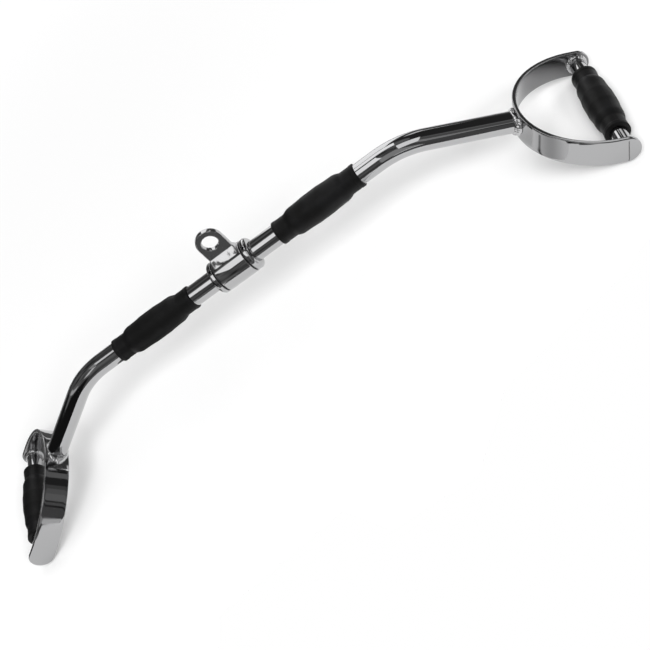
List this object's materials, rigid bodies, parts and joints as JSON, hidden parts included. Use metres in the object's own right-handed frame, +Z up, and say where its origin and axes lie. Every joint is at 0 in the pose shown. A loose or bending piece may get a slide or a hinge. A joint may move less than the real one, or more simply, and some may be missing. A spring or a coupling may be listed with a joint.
{
  "type": "lat pulldown bar",
  "caption": "Bent chrome pulldown bar with a revolving hanger eye, moulded rubber grips beside it and a stirrup handle welded on each end.",
  "frame": {"origin": "on the ground under the middle of the bar, which stands on the bellies of its two handle grips", "axes": "+X along the straight middle of the tube to the right, +Y to the rear, +Z up through the hanger"},
  "size_m": [0.9022, 0.178, 0.2006],
  "materials": {
    "chrome": "bright polished plate",
    "chrome_weld": "plated over a dressed weld",
    "rubber": "matt moulded",
    "bearing": "machined nylon",
    "screw": "black oxide"
  },
  "bodies": {
    "bar": {"main_tube": "chrome", "stirrup_band_left": "chrome", "stirrup_band_right": "chrome", "tube_weld_left": "chrome_weld", "tube_weld_right": "chrome_weld", "handle_rod_left": "chrome", "handle_rod_right": "chrome", "rod_weld_left_front": "chrome_weld", "rod_weld_left_rear": "chrome_weld", "rod_weld_right_front": "chrome_weld", "rod_weld_right_rear": "chrome_weld", "handle_grip_left": "rubber", "handle_grip_right": "rubber", "bar_grip_left": "rubber", "bar_grip_right": "rubber", "stop_collar_left": "chrome", "stop_collar_right": "chrome", "set_screw_left": "screw", "set_screw_right": "screw"},
    "hanger": {"hanger_barrel": "chrome", "hanger_eye": "chrome", "eye_weld": "chrome_weld", "bushing_left": "bearing", "bushing_right": "bearing"}
  },
  "joints": [
    {"name": "hanger_swivel", "type": "hinge", "parent": "bar", "child": "hanger", "pos_m": [0, 0, 0.13872], "axis": [1, 0, 0], "continuous": true}
  ]
}
